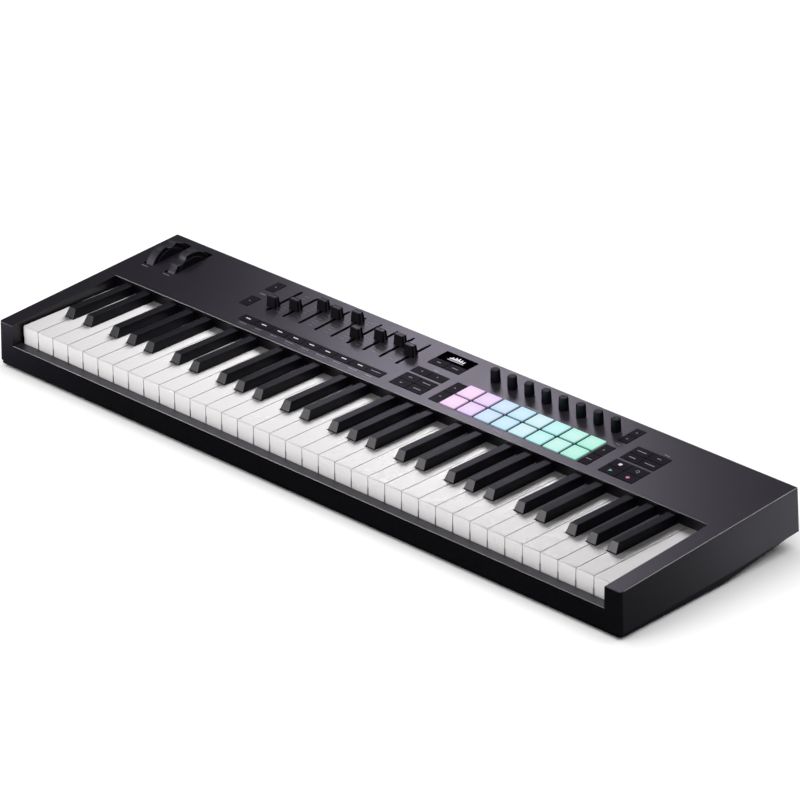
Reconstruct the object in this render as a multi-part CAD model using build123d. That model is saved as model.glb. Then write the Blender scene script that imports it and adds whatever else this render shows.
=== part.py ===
from build123d import *
import math
import os

# 61-key keyboard controller. Millimetres, +Z up.
# Working frame used below: X = 0 at the middle of the keyboard, Y = 0 one
# millimetre behind the front face, Z = 0 inside the floor of the case. save()
# shifts every piece so that the row origin is the middle of the footprint, at
# the bottom of the feet.

# ---------------------------------------------------------------- case sizes
FRONT_Y = -1.0           # front face
DEPTH = 265.7            # lower rear edge
HALF_TOP = 447.3         # half width at the top edge
HALF_BOT = 449.4         # half width at the bottom edge
FRONT_H = 49.3           # height of the end cheeks at the front
SLOPE = 0.0559           # rise of the top panel per mm of depth
REAR_Y = 263.3           # rear edge of the top panel
REAR_Z = FRONT_H + SLOPE * REAR_Y
REAR_LOW_Z = 14.6        # lower edge of the rear face
BASE_Z = -1.0            # flat underside
KINK_Y = 150.4           # where the underside starts to rise
FRONT_CORNER = 3.6       # radius of the two upright front corners
WALL = 2.5
OPEN_HALF = 427.2        # half width of the key opening
OPEN_REAR = 150.8        # rear edge of the key opening
RAIL_Z = 25.1            # top of the front rail
RAIL_Y = 12.0            # depth of the front rail
PART_FRONT_Z = 3.2       # parting line between the two shells
PART_KINK = (172.0, 8.7)
FEET_Z = -4.0            # bottom of the rubber feet

# ---------------------------------------------------------------- key sizes
PITCH = 23.6             # white key pitch
WHITES = 36
KEY_W = 22.6
KEY_FRONT = 12.8
KEY_TOP = 45.7
KEY_SKIRT = 33.0         # lower edge of the key walls
LIP_Z = 22.0             # lower edge of the front lip
KEY_WALL = 1.6
BLACK_FRONT = 60.4
BLACK_NOSE = 65.9        # where the sloped nose meets the top
BLACK_TOP = 55.8
BLACK_END = 149.5
BLACK_END_TOP = 54.9
BLACK_HALF_BASE = 6.7
BLACK_HALF_TOP = 5.0
BLACK_CUT = 7.5          # half width of the notch in the white keys
BLACK_SHIFT = {0: -2.4, 1: 2.6, 3: -3.5, 4: 0.0, 5: 3.6}
PIVOT_Y, PIVOT_Z = 180.0, 38.0
ROD_R = 2.0
PIVOT_CLEAR = 0.06

# ---------------------------------------------------------------- panel controls
FADER_X0, FADER_PITCH = -238.6, 24.05
FADER_SLOT = (197.4, 251.6)
FADER_POS = (207.5, 217.6, 235.8, 232.3, 239.1, 212.9, 225.0, 230.3, 220.9)
FADER_H = 13.6
ENC_X0, ENC_PITCH, ENC_Y = 62.7, 23.99, 235.0
ENC_H = 15.0
PAD_X0, PAD_PITCH, PAD_W = 49.8, 24.05, 20.9
PAD_ROWS = ((163.6, 186.2), (188.8, 211.4))
PAD_UP = 1.2
BTN_UP = 0.5
GAP = 0.3                # gap round a button cluster
OCTAVE = [(-275.5, -262.2, 190.8, 211.8), (-275.5, -262.2, 230.3, 251.2)]
STRIP = [(-249.6 + 23.63 * i, -249.6 + 23.63 * i + 23.03, 164.2, 176.6) for i in range(9)]
SCREEN_BTN = [(-22.7, -0.3, 221.0, 234.2), (0.3, 22.7, 221.0, 234.2)]
TRACK = [(-23.6, -1.1, 196.1, 209.0), (-0.5, 22.0, 196.1, 209.0)]
MODE = [(x, x + 22.5, y, y + 13.8) for y in (164.0, 178.4) for x in (-23.6, -0.5)]
SCROLL = [(33.7, 47.3, 163.4, 185.8), (33.7, 47.3, 186.4, 208.8)]
BANK = [(244.1, 256.9, 221.3, 236.5), (244.1, 256.9, 237.1, 252.3)]
PAD_SIDE = [(241.6, 254.8, 163.4, 185.5), (241.6, 254.8, 186.1, 208.2)]
EDIT = [(x, x + 22.4, y, y + 14.1) for y in (196.5, 211.2) for x in (269.7, 292.7)]
TRANSPORT = [(x, x + 22.5, y, y + 14.3) for y in (163.5, 178.4) for x in (269.5, 292.6)]
WINDOW = (-22.7, 22.7, 234.8, 252.0)

WHEEL_R, WHEEL_W = 31.0, 11.6
WHEEL_Y, WHEEL_Z = 222.0, 45.2
WHEEL_X = (-419.5, -385.45)
WHEEL_SLOT_HALF = 6.6
WHEEL_SLOT = (191.2, 252.5)
SCOOP_R, SCOOP_OUT = 9.5, 5.0

BOARD_W = (-9.2, -7.6)   # control board, measured down from the panel's face
BOARD_AREA = (-282.0, 322.0, 157.0, 252.8)

# ---------------------------------------------------------------- rear sockets
USB_X, USB_Z = -20.7, 45.5
MIDI_X, MIDI_Z = -43.8, 37.5
JACK_X, JACK_Z, JACK_BORE_R = -72.6, 40.2, 3.2
LOCK_X, LOCK_Z = -427.4, 45.7

# ---------------------------------------------------------------- fasteners
SCREW_R, SCREW_LEN, HEAD_R, HEAD_T = 1.5, 10.0, 2.9, 1.8
REAR_SCREWS = [(x, 256.4) for x in (-434, -330, -226.6, -106.3, 0, 110, 226, 330, 434)]
FRONT_SCREWS = [(x, 6.8) for x in (-217, 0, 217)]
CHEEK_SCREWS = [(-436.8, 10.5), (436.8, 10.5)]
BED_SCREWS = [(x, y) for x in (-330, -121, 121, 330) for y in (62.0, 142.0)]
FEET = [(x, y) for x in (-405, 0, 405) for y in (28.0, 141.0)]

ANG = math.atan(SLOPE)
CA, SA = math.cos(ANG), math.sin(ANG)
PANEL = Plane(origin=(0, 0, FRONT_H), x_dir=(1, 0, 0), z_dir=(0, -SA, CA))

os.makedirs("parts", exist_ok=True)


def box(x0, x1, y0, y1, z0, z1):
    return Pos((x0 + x1) / 2, (y0 + y1) / 2, (z0 + z1) / 2) * Box(x1 - x0, y1 - y0, z1 - z0)


def cyl_x(y, z, r, x0, x1):
    return Pos((x0 + x1) / 2, y, z) * Rot(0, 90, 0) * Cylinder(r, x1 - x0)


def cyl_y(x, z, r, y0, y1):
    return Pos(x, (y0 + y1) / 2, z) * Rot(90, 0, 0) * Cylinder(r, y1 - y0)


def cyl_z(x, y, r, z0, z1):
    return Pos(x, y, (z0 + z1) / 2) * Cylinder(r, z1 - z0)


def prism_x(pts, x0, x1):
    return Pos(x0, 0, 0) * extrude(Plane.YZ * Polygon(*pts, align=None), amount=x1 - x0, dir=(1, 0, 0))


def prism_y(pts, y0, y1):
    return Pos(0, y0, 0) * extrude(Plane.XZ * Polygon(*pts, align=None), amount=y1 - y0, dir=(0, 1, 0))


def prism_z(pts, z0, z1):
    return Pos(0, 0, z0) * extrude(Polygon(*pts, align=None), amount=z1 - z0, dir=(0, 0, 1))


def on_panel(shape):
    return PANEL * shape


def pbox(x0, x1, y0, y1, w0, w1, r=0.0):
    """Block set square to the panel: x, y as seen from above, w up from its face."""
    v0, v1 = y0 / CA, y1 / CA
    if r:
        flat = Pos((x0 + x1) / 2, (v0 + v1) / 2, w0) * RectangleRounded(x1 - x0, v1 - v0, r)
        return on_panel(extrude(flat, amount=w1 - w0, dir=(0, 0, 1)))
    return on_panel(box(x0, x1, v0, v1, w0, w1))


def pcyl(x, y, r, w0, w1):
    return on_panel(cyl_z(x, y / CA, r, w0, w1))


def face_z(y):
    return FRONT_H + SLOPE * y


def ramp_z(y):
    return BASE_Z if y < KINK_Y else BASE_Z + (REAR_LOW_Z - BASE_Z) * (y - KINK_Y) / (DEPTH - KINK_Y)


def part_z(y):
    """Height of the line where the two shells meet."""
    if y < PART_KINK[0]:
        return PART_FRONT_Z + (PART_KINK[1] - PART_FRONT_Z) * y / PART_KINK[0]
    return PART_KINK[1] + (REAR_LOW_Z - PART_KINK[1]) * (y - PART_KINK[0]) / (DEPTH - PART_KINK[0])


def rear_y(z):
    return REAR_Y + (REAR_Z - z) / (REAR_Z - REAR_LOW_Z) * (DEPTH - REAR_Y)


def round_off(shape, pick, radius):
    """Rounds the picked edges, or leaves the shape as it was."""
    edges = [e for e in shape.edges() if pick(e)]
    try:
        done = fillet(edges, radius)
        if done.is_valid:
            return done
    except Exception as error:
        print("not rounded", radius, error)
    return shape


SHIFT = Location((0, -(FRONT_Y + DEPTH) / 2, -FEET_Z))


def save(name, pieces):
    solids = []
    for piece in pieces if isinstance(pieces, (list, tuple)) else [pieces]:
        solids += piece.solids()
    moved = [s.moved(SHIFT) for s in solids]
    whole = moved[0] if len(moved) == 1 else Compound(children=moved)
    whole.label = name
    export_step(whole, f"parts/{name}.step")
    print(name, len(moved))


def hull_rect(rects):
    return (min(r[0] for r in rects), max(r[1] for r in rects), min(r[2] for r in rects), max(r[3] for r in rects))


# ================================================================ top case
def make_top_case():
    profile = [(FRONT_Y, part_z(FRONT_Y)), (FRONT_Y, face_z(FRONT_Y)), (REAR_Y, REAR_Z), (DEPTH, REAR_LOW_Z), PART_KINK]
    outer = prism_x(profile, -460, 460) & prism_y(
        [(-HALF_BOT, 0), (-HALF_TOP, 66), (-HALF_TOP + 0.4, 84), (HALF_TOP - 0.4, 84), (HALF_TOP, 66), (HALF_BOT, 0)], -5, 300)
    outer = round_off(outer, lambda e: abs(e.tangent_at(0.5).Z) > 0.9 and e.center().Y < 5, FRONT_CORNER)
    outer = round_off(outer, lambda e: abs(e.tangent_at(0.5).Z) > 0.9 and e.center().Y > 250, 0.9)
    top = max(outer.faces(), key=lambda f: f.center().Z)
    keep = {tuple(round(c, 3) for c in e.center()) for e in top.edges()}
    outer = round_off(outer, lambda e: tuple(round(c, 3) for c in e.center()) in keep, 0.9)

    inner = prism_x([(FRONT_Y + WALL, -4), (FRONT_Y + WALL, face_z(WALL) - WALL), (REAR_Y - WALL, face_z(REAR_Y - WALL) - WALL),
                     (rear_y(REAR_LOW_Z) - WALL, REAR_LOW_Z), (DEPTH - 1.8, -4)], -444.2, 444.2)
    ribs = [box(s * 427.2 if s > 0 else -429.4, 429.4 if s > 0 else -427.2, 1, 152.9, 12, 58) for s in (1, -1)]
    ribs.append(box(-429.0, 429.0, OPEN_REAR, OPEN_REAR + 2.1, 47.0, 58))
    ribs.append(box(-428.0, 428.0, 1.0, RAIL_Y, RAIL_Z - WALL, 30))
    ribs.append(box(-428.0, 428.0, RAIL_Y - 2.3, RAIL_Y, 17.5, 30))
    for x, y in REAR_SCREWS:
        ribs.append(cyl_z(x, y, 3.2, ramp_z(y) + 4.8, 62))
    for x, y in FRONT_SCREWS:
        ribs.append(cyl_z(x, y, 3.1, 4.3, 24))
    for x, y in CHEEK_SCREWS:
        ribs.append(cyl_z(x, y, 3.2, 4.3, 48.5))
    solid = outer - inner
    limit = outer
    for rib in ribs:
        solid = solid + (rib & limit)

    cuts = [box(-OPEN_HALF, OPEN_HALF, -2, OPEN_REAR, RAIL_Z, 90)]
    for x, y in REAR_SCREWS:
        cuts.append(cyl_z(x, y, SCREW_R + 0.05, 0, ramp_z(y) + 16.0))
    for x, y in FRONT_SCREWS + CHEEK_SCREWS:
        cuts.append(cyl_z(x, y, SCREW_R + 0.05, 0, 14.0))
    for rects in (STRIP, TRACK, MODE, SCROLL, BANK, PAD_SIDE, EDIT, TRANSPORT):
        x0, x1, y0, y1 = hull_rect(rects)
        cuts.append(pbox(x0 - GAP, x1 + GAP, y0 - GAP, y1 + GAP, -6, 4, 1.1))
    x0, x1, y0, y1 = hull_rect(SCREEN_BTN + [WINDOW])
    cuts.append(pbox(x0 - GAP, x1 + GAP, y0 - GAP, y1 + GAP, -6, 4, 1.1))
    for r in OCTAVE:
        cuts.append(pbox(r[0] - GAP, r[1] + GAP, r[2] - GAP, r[3] + GAP, -6, 4, 1.1))
    for i in range(8):
        for y0, y1 in PAD_ROWS:
            cuts.append(pbox(PAD_X0 + PAD_PITCH * i - 0.4, PAD_X0 + PAD_PITCH * i + PAD_W + 0.4, y0 - 0.4, y1 + 0.4, -6, 4, 1.6))
        cuts.append(pcyl(ENC_X0 + ENC_PITCH * i, ENC_Y, 3.6, -6, 4))
    for i in range(9):
        x = FADER_X0 + FADER_PITCH * i
        cuts.append(pbox(x - 1.5, x + 1.5, FADER_SLOT[0], FADER_SLOT[1], -6, 4, 1.45))
    for x in WHEEL_X:
        cuts.append(pbox(x - WHEEL_SLOT_HALF, x + WHEEL_SLOT_HALF, WHEEL_SLOT[0], WHEEL_SLOT[1], -6, 4, 0.8))
    cuts.append(Pos(USB_X, 262, USB_Z) * Rot(90, 0, 0) * extrude(RectangleRounded(10.2, 4.6, 2.2), amount=6, both=True))
    cuts.append(cyl_y(MIDI_X, MIDI_Z, 8.15, 257, 268))
    cuts.append(Pos(JACK_X, 262, JACK_Z) * Rot(90, 0, 0) * extrude(RegularPolygon(5.15, 6, major_radius=True), amount=6, both=True))
    cuts.append(Pos(LOCK_X, 262, LOCK_Z) * Rot(90, 0, 0) * extrude(RectangleRounded(7.0, 3.0, 0.9), amount=6, both=True))
    cuts.append(prism_x([(rear_y(21.9) - 0.45, 21.9), (rear_y(21.9) + 1, 21.9), (rear_y(21.3) + 1, 21.3), (rear_y(21.3) - 0.45, 21.3)], -441, 441))
    for cut in cuts:
        solid = solid - cut
    return solid


# ================================================================ bottom case
def make_bottom_case():
    y0 = FRONT_Y + 0.6
    outer = prism_x([(y0, BASE_Z), (KINK_Y, BASE_Z), (258, ramp_z(258)), (258, part_z(258) - 0.01),
                     (PART_KINK[0], PART_KINK[1] - 0.01), (y0, part_z(y0) - 0.01)], -447.6, 447.6)
    outer = round_off(outer, lambda e: abs(e.tangent_at(0.5).Z) > 0.9 and e.center().Y < 5, FRONT_CORNER - 0.5)
    outer = round_off(outer, lambda e: abs(e.center().Z - BASE_Z) < 0.01 and e.center().Y < 4.0, 0.9)
    floor_z = BASE_Z + 3.0
    solid = outer - prism_x([(y0 + WALL, floor_z), (KINK_Y, floor_z), (300, ramp_z(300) + 3.0), (300, 60), (y0 + WALL, 60)], -444.6, 444.6)
    solid = solid + prism_x([(KINK_Y, BASE_Z), (262.1, ramp_z(262.1)), (262.1, ramp_z(262.1) + 3.0), (KINK_Y, floor_z)], -444.0, 444.0)
    adds, cuts = [], []
    for x, y in REAR_SCREWS:
        z = ramp_z(y)
        adds.append(cyl_z(x, y, 4.6, z + 1.0, z + 4.7))
        cuts += [cyl_z(x, y, 3.3, z - 3, z + 2.3), cyl_z(x, y, SCREW_R + 0.15, z, z + 8)]
    for x, y in FRONT_SCREWS + CHEEK_SCREWS:
        adds.append(cyl_z(x, y, 3.6, 1.0, 4.2))
        cuts += [cyl_z(x, y, 3.3, -3, 1.9), cyl_z(x, y, SCREW_R + 0.15, 0, 8)]
    for x, y in BED_SCREWS:
        adds.append(cyl_z(x, y, 5.0, 1.0, 8.5))
        cuts += [cyl_z(x, y, 3.3, -3, 1.9), cyl_z(x, y, SCREW_R + 0.15, 0, 10)]
    for y0 in (40.0, 100.0):
        adds.append(box(-420, 420, y0, y0 + 2.0, 1.0, 8.5))
    for x in (-300, -100, 100, 300):
        adds.append(box(x - 1, x + 1, 40.5, 170, 1.0, 8.0))
    for x in (-427.6, -377.1):
        for y in (192.5, 251.0):
            adds.append(box(x - 1.9, x + 1.9, y - 2.0, y + 2.0, ramp_z(y) + 1.5, 32.0))
    for x in (-85.0, -10.0):
        for y in (232.0, 243.0):
            adds.append(box(x - 2, x + 2, y - 2, y + 2, ramp_z(y) + 1.5, 26.0))
    for add in adds:
        solid = solid + add
    for x, y in FEET:
        cuts.append(cyl_z(x, y, 7.2, -3, 0.6))
    for cut in cuts:
        solid = solid - cut
    return solid


def make_screw(x, y, head_bottom):
    head = cyl_z(x, y, HEAD_R, head_bottom, head_bottom + HEAD_T)
    slot = box(x - 1.7, x + 1.7, y - 0.35, y + 0.35, head_bottom - 1, head_bottom + 1.0)
    slot = slot + box(x - 0.35, x + 0.35, y - 1.7, y + 1.7, head_bottom - 1, head_bottom + 1.0)
    return head + cyl_z(x, y, SCREW_R, head_bottom + HEAD_T - 0.3, head_bottom + HEAD_T + SCREW_LEN) - slot


def make_screws():
    out = [make_screw(x, y, ramp_z(y) + 2.3 - HEAD_T) for x, y in REAR_SCREWS]
    out += [make_screw(x, y, 1.9 - HEAD_T) for x, y in FRONT_SCREWS + CHEEK_SCREWS + BED_SCREWS]
    return out


def make_feet():
    out = []
    for x, y in FEET:
        foot = cyl_z(x, y, 7.0, FEET_Z, 0.6)
        out.append(round_off(foot, lambda e: e.center().Z < FEET_Z + 0.01, 0.4))
    return out


# ================================================================ keys
def white_x(i):
    """Left edge of white key i."""
    return (i - WHITES / 2) * PITCH + (PITCH - KEY_W) / 2


def black_x(i):
    """Middle of the black key to the right of white key i, or None."""
    shift = BLACK_SHIFT.get(i % 7)
    if shift is None or i >= WHITES - 1:
        return None
    return (i + 1 - WHITES / 2) * PITCH + shift


def tail_range(i):
    x0, x1 = white_x(i), white_x(i) + KEY_W
    left = black_x(i - 1) if i > 0 else None
    right = black_x(i)
    t0 = left + BLACK_CUT if left is not None else x0
    t1 = right - BLACK_CUT if right is not None else x1
    return t0, t1, x0, x1


def pivot_tail(xc, half, top):
    plate = box(xc - half, xc + half, 171.5, 184.5, 42.6, top)
    boss = box(xc - 3.5, xc + 3.5, 175.6, 184.5, 33.6, 42.8)
    return plate + boss, cyl_x(PIVOT_Y, PIVOT_Z, ROD_R + PIVOT_CLEAR, xc - 8, xc + 8)


def make_white(i):
    t0, t1, x0, x1 = tail_range(i)
    front = BLACK_FRONT - 1.0

    def outline(a, b, c, d, y0, y1):
        """Head from c to d up to the notch, tail from a to b behind it."""
        pts = [(c, y0), (d, y0)]
        if b < d - 0.01:
            pts += [(d, y1), (b, y1)]
        pts += [(b, 175.6), (a, 175.6)]
        if a > c + 0.01:
            pts += [(a, y1), (c, y1)]
        return pts

    body = prism_z(outline(t0, t1, x0, x1, KEY_FRONT, front), KEY_SKIRT, KEY_TOP)
    w = KEY_WALL
    pocket = prism_z(outline(t0 + w, t1 - w, x0 + w, x1 - w, KEY_FRONT + 2.0, front - w), KEY_SKIRT - 1, KEY_TOP - 2.4)
    pocket = pocket - box(x0, x1, 113.5, 118.5, 0, 60) - box(x0, x1, 171.5, 190, 0, 60)
    body = body - pocket
    body = body + box(x0 + 0.4, x1 - 0.4, KEY_FRONT, KEY_FRONT + 2.0, LIP_Z, KEY_SKIRT + 0.5)
    xc = (t0 + t1) / 2
    half = min(xc - t0, t1 - xc)
    if i == WHITES - 1:
        half = 6.0
    tail, bore = pivot_tail(xc, half, KEY_TOP)
    body = body + tail - bore
    return round_off(body, lambda e: abs(e.center().Y - KEY_FRONT) < 0.01 and abs(e.center().Z - KEY_TOP) < 0.01, 1.6)


def make_black(i):
    xc = black_x(i)
    side = [(BLACK_FRONT, 34.0), (BLACK_FRONT, KEY_TOP + 0.6), (BLACK_NOSE, BLACK_TOP), (BLACK_END, BLACK_END_TOP), (BLACK_END, 34.0)]
    cross = [(xc - BLACK_HALF_BASE, 33), (xc - BLACK_HALF_BASE, KEY_TOP), (xc - BLACK_HALF_TOP, BLACK_TOP),
             (xc - BLACK_HALF_TOP + 0.5, 60), (xc + BLACK_HALF_TOP - 0.5, 60), (xc + BLACK_HALF_TOP, BLACK_TOP),
             (xc + BLACK_HALF_BASE, KEY_TOP), (xc + BLACK_HALF_BASE, 33)]
    body = prism_x(side, xc - 10, xc + 10) & prism_y(cross, 50, 160)
    body = round_off(body, lambda e: e.center().Z > 50.0 and e.center().Y < BLACK_END - 1, 0.9)
    body = body - box(xc - 4.3, xc + 4.3, 66.5, 113.5, 30, 51.5) - box(xc - 4.3, xc + 4.3, 118.5, 146.5, 30, 51.5)
    body = body + (box(xc - 6.0, xc + 6.0, BLACK_END - 0.5, 175.6, 36.0, 45.2)
                   - box(xc - 4.4, xc + 4.4, BLACK_END + 1.5, 171.5, 30, 43.0))
    tail, bore = pivot_tail(xc, 6.0, 45.2)
    return body + tail - bore


# ================================================================ keybed
def make_chassis():
    solid = box(-425.4, 425.4, 18.0, 189.0, 8.5, 10.8)
    adds = [box(-425.4, 425.4, 38.0, 46.0, 10.5, 21.2),
            box(-425.4, 425.4, 98.0, 100.0, 10.5, 20.0),
            box(-425.4, 425.4, 131.5, 133.5, 10.5, 20.0),
            box(-425.4, 425.4, 186.2, 189.0, 10.5, 41.8)]
    cuts = [box(-425.4 + 2.5, 425.4 - 2.5, 40.2, 43.8, 5, 18.8),
            box(-154, -130, 185, 190, 14, 22), box(148, 172, 185, 190, 14, 22)]
    for i in range(WHITES):
        xc = white_x(i) + KEY_W / 2
        adds.append(box(xc - 1.6, xc + 1.6, 26.0, 32.0, 10.5, 31.0))
        if black_x(i) is not None:
            adds.append(box(black_x(i) - 1.5, black_x(i) + 1.5, 69.0, 74.0, 10.5, 38.0))
    lugs = [(white_x(i) - (PITCH - KEY_W) / 2) for i in range(0, WHITES + 1)
            if i in (0, WHITES) or i % 7 in (0, 3)]
    for x in lugs:
        x = min(max(x, -423.9), 423.9)
        adds.append(box(x - 1.5, x + 1.5, 176.6, 187.0, 10.5, 41.8))
    for x, y in BED_SCREWS:
        adds.append(cyl_z(x, y, 3.6, 10.5, 13.5))
        cuts.append(cyl_z(x, y, SCREW_R + 0.05, 5, 20))
    for add in adds:
        solid = solid + add
    cuts.append(cyl_x(PIVOT_Y, PIVOT_Z, ROD_R, -430, 430))
    for cut in cuts:
        solid = solid - cut
    return solid


def key_middles():
    out = []
    for i in range(WHITES):
        t0, t1, _, _ = tail_range(i)
        out.append((t0 + t1) / 2)
        if black_x(i) is not None:
            out.append(black_x(i))
    return out


def make_contact_rubbers():
    solid = box(-424, 424, 104, 128, 21.6, 22.8)
    for x in key_middles():
        dome = Pos(x, 116, 25.7) * Cone(4.2, 2.9, 5.9)
        solid = solid + dome
    return solid


# ================================================================ small modules
def make_button(r):
    x0, x1, y0, y1 = r
    cap = pbox(x0, x1, y0, y1, -3.2, BTN_UP, 0.9)
    top = max(cap.faces(), key=lambda f: f.center().Z - SLOPE * f.center().Y)
    keep = {tuple(round(c, 3) for c in e.center()) for e in top.edges()}
    cap = round_off(cap, lambda e: tuple(round(c, 3) for c in e.center()) in keep, 0.3)
    return cap + pcyl((x0 + x1) / 2, (y0 + y1) / 2, 1.6, -4.4, -3.0)


def make_pad(x0, y0, y1):
    pad = pbox(x0, x0 + PAD_W, y0, y1, -5.5, PAD_UP, 1.3)
    top = max(pad.faces(), key=lambda f: f.center().Z - SLOPE * f.center().Y)
    keep = {tuple(round(c, 3) for c in e.center()) for e in top.edges()}
    return round_off(pad, lambda e: tuple(round(c, 3) for c in e.center()) in keep, 0.5)


def make_fader(i):
    x, y = FADER_X0 + FADER_PITCH * i, FADER_POS[i]
    v = y / CA
    lower = Pos(x, v, 0.8) * RectangleRounded(13.6, 9.0, 1.0)
    middle = Pos(x, v, 4.5) * RectangleRounded(13.0, 7.6, 1.0)
    upper = Pos(x, v, FADER_H) * RectangleRounded(11.8, 6.2, 1.0)
    cap = loft([lower, middle, upper], ruled=True)
    keep = max(cap.faces(), key=lambda f: f.center().Z)
    mids = {tuple(round(c, 3) for c in e.center()) for e in keep.edges()}
    cap = round_off(cap, lambda e: tuple(round(c, 3) for c in e.center()) in mids, 0.5)
    cap = cap - box(x - 0.65, x + 0.65, v - 2.05, v + 2.05, 0, 7.0)
    lever = box(x - 0.6, x + 0.6, v - 2.0, v + 2.0, -6.0, 6.9)
    return [on_panel(cap), on_panel(lever)]


def make_fader_body(i):
    x = FADER_X0 + FADER_PITCH * i
    body = pbox(x - 4.2, x + 4.2, 193.4, 252.7, -7.6, -3.1)
    return body - pbox(x - 0.95, x + 0.95, 196.5, 252.0, -6.7, 0)


def make_knob(i):
    x, v = ENC_X0 + ENC_PITCH * i, ENC_Y / CA
    outline = Polyline((0, 0.6), (5.5, 0.6), (5.45, 2.6), (4.95, ENC_H - 0.9), (4.1, ENC_H), (0, ENC_H), close=True)
    knob = revolve(Plane.XZ * make_face(outline), Axis.Z)
    shaft = cyl_z(0, 0, 3.0, -5.8, 1.0)
    return on_panel(Pos(x, v, 0) * (knob + shaft))


def make_encoder_body(i):
    x = ENC_X0 + ENC_PITCH * i
    return pbox(x - 5.8, x + 5.8, ENC_Y - 5.8, ENC_Y + 5.8, -7.6, -3.1) - pcyl(x, ENC_Y, 3.06, -6.3, 0)


def make_wheel(x, first, last, scoop):
    """Half wheel; angles are measured from straight up, towards the rear."""
    x0, x1 = x - WHEEL_W / 2, x + WHEEL_W / 2
    disc = cyl_x(WHEEL_Y, WHEEL_Z, WHEEL_R, x0, x1)
    disc = round_off(disc, lambda e: e.geom_type == GeomType.CIRCLE, 0.9)
    mid = math.radians((first + last) / 2)
    cut = Pos(x, WHEEL_Y, WHEEL_Z) * Rot(-math.degrees(mid), 0, 0) * box(-20, 20, -80, 80, -80, 0)
    disc = disc - cut
    hub = cyl_x(WHEEL_Y, WHEEL_Z, 9.0, x0, x1)
    a = math.radians(scoop)
    reach = WHEEL_R + SCOOP_OUT
    scoop_cut = cyl_x(WHEEL_Y + reach * math.sin(a), WHEEL_Z + reach * math.cos(a), SCOOP_R, x0 - 1, x1 + 1)
    return disc + hub - scoop_cut - cyl_x(WHEEL_Y, WHEEL_Z, 3.06, x0 - 1, x1 + 1)


def make_wheel_bracket():
    solid = box(-429.6, -375.2, 189.1, 190.6, 32, 55.5) + box(-429.6, -375.2, 253.4, 255.0, 32, 55.5)
    for x0, x1 in ((-429.6, -427.2), (-403.4, -401.4), (-377.6, -375.2)):
        solid = solid + box(x0, x1, 189.1, 255.0, 32, 55.5)
    for x in (-427.6, -377.1):
        for y in (192.5, 251.0):
            s = 1 if x < -400 else -1
            solid = solid + box(x - 1.9, x + 1.9, y - 2.0, y + 2.0, 32.0, 34.0)
    return solid + cyl_x(WHEEL_Y, WHEEL_Z, 3.0, -429.6, -375.2)


def make_control_board():
    x0, x1, y0, y1 = BOARD_AREA
    solid = pbox(x0, x1, y0, y1, BOARD_W[0], BOARD_W[1])
    for r in OCTAVE + STRIP + SCREEN_BTN + TRACK + MODE + SCROLL + BANK + PAD_SIDE + EDIT + TRANSPORT:
        xc, yc = (r[0] + r[1]) / 2, (r[2] + r[3]) / 2
        solid = solid + pbox(xc - 2.5, xc + 2.5, yc - 2.5, yc + 2.5, BOARD_W[1] - 0.2, -5.4)
    return solid


def make_usb():
    yo = rear_y(USB_Z) - 0.3
    flat = Pos(USB_X, yo, USB_Z) * Rot(90, 0, 0)
    shell = flat * extrude(RectangleRounded(8.9, 3.3, 1.5), amount=7.6)
    hollow = flat * extrude(RectangleRounded(8.3, 2.7, 1.25), amount=6.6)
    tongue = box(USB_X - 3.3, USB_X + 3.3, yo - 7.4, yo - 0.9, USB_Z - 0.4, USB_Z + 0.4)
    riser = box(USB_X - 4.4, USB_X + 4.4, yo - 7.6, yo - 2.8, 27.6, USB_Z - 1.5)
    return (shell - hollow) + tongue + riser


def make_midi():
    yo = rear_y(MIDI_Z) - 0.4
    solid = cyl_y(MIDI_X, MIDI_Z, 7.85, yo - 6, yo) + box(MIDI_X - 9, MIDI_X + 9, yo - 16, yo - 5.0, 27.6, 46.5)
    ring = cyl_y(MIDI_X, MIDI_Z, 6.7, yo - 5, yo + 1) - cyl_y(MIDI_X, MIDI_Z, 5.7, yo - 6, yo + 2)
    key = box(MIDI_X - 1.1, MIDI_X + 1.1, yo - 5, yo + 1, MIDI_Z - 7.0, MIDI_Z - 5.5)
    solid = solid - ring - key
    for k in range(5):
        a = math.radians(45.0 * k)
        solid = solid - cyl_y(MIDI_X + 3.75 * math.cos(a), MIDI_Z + 3.75 * math.sin(a), 0.8, yo - 5, yo + 1)
    return solid


def make_jack():
    inside = rear_y(JACK_Z + 6) - WALL - 0.35
    body = box(JACK_X - 7.5, JACK_X + 7.5, inside - 27, inside, 27.6, 47.2)
    bush = cyl_y(JACK_X, JACK_Z, 4.35, inside - 1, DEPTH - 0.35)
    nut = cyl_y(JACK_X, JACK_Z, 5.6, rear_y(JACK_Z - 6) + 0.02, DEPTH - 0.1)
    nut = round_off(nut, lambda e: e.geom_type == GeomType.CIRCLE and e.center().Y > DEPTH - 0.2, 0.35)
    return body + bush + nut - cyl_y(JACK_X, JACK_Z, JACK_BORE_R, inside - 24, DEPTH + 2)


# ================================================================ write the pieces
save("top_case", make_top_case())
save("bottom_case", make_bottom_case())
save("case_screws", make_screws())
save("rubber_feet", make_feet())
save("keybed_chassis", make_chassis())
save("key_pivot_rod", cyl_x(PIVOT_Y, PIVOT_Z, ROD_R, -425.4, 425.4))
save("key_contact_board", box(-424.5, 424.5, 96.0, 136.0, 20.0, 21.6))
save("key_contact_rubbers", make_contact_rubbers())
save("key_felts", [box(-425, 425, 38.0, 46.0, 21.2, 24.1), box(-426.8, 426.8, OPEN_REAR, OPEN_REAR + 2.0, 46.0, 47.0)])

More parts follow.
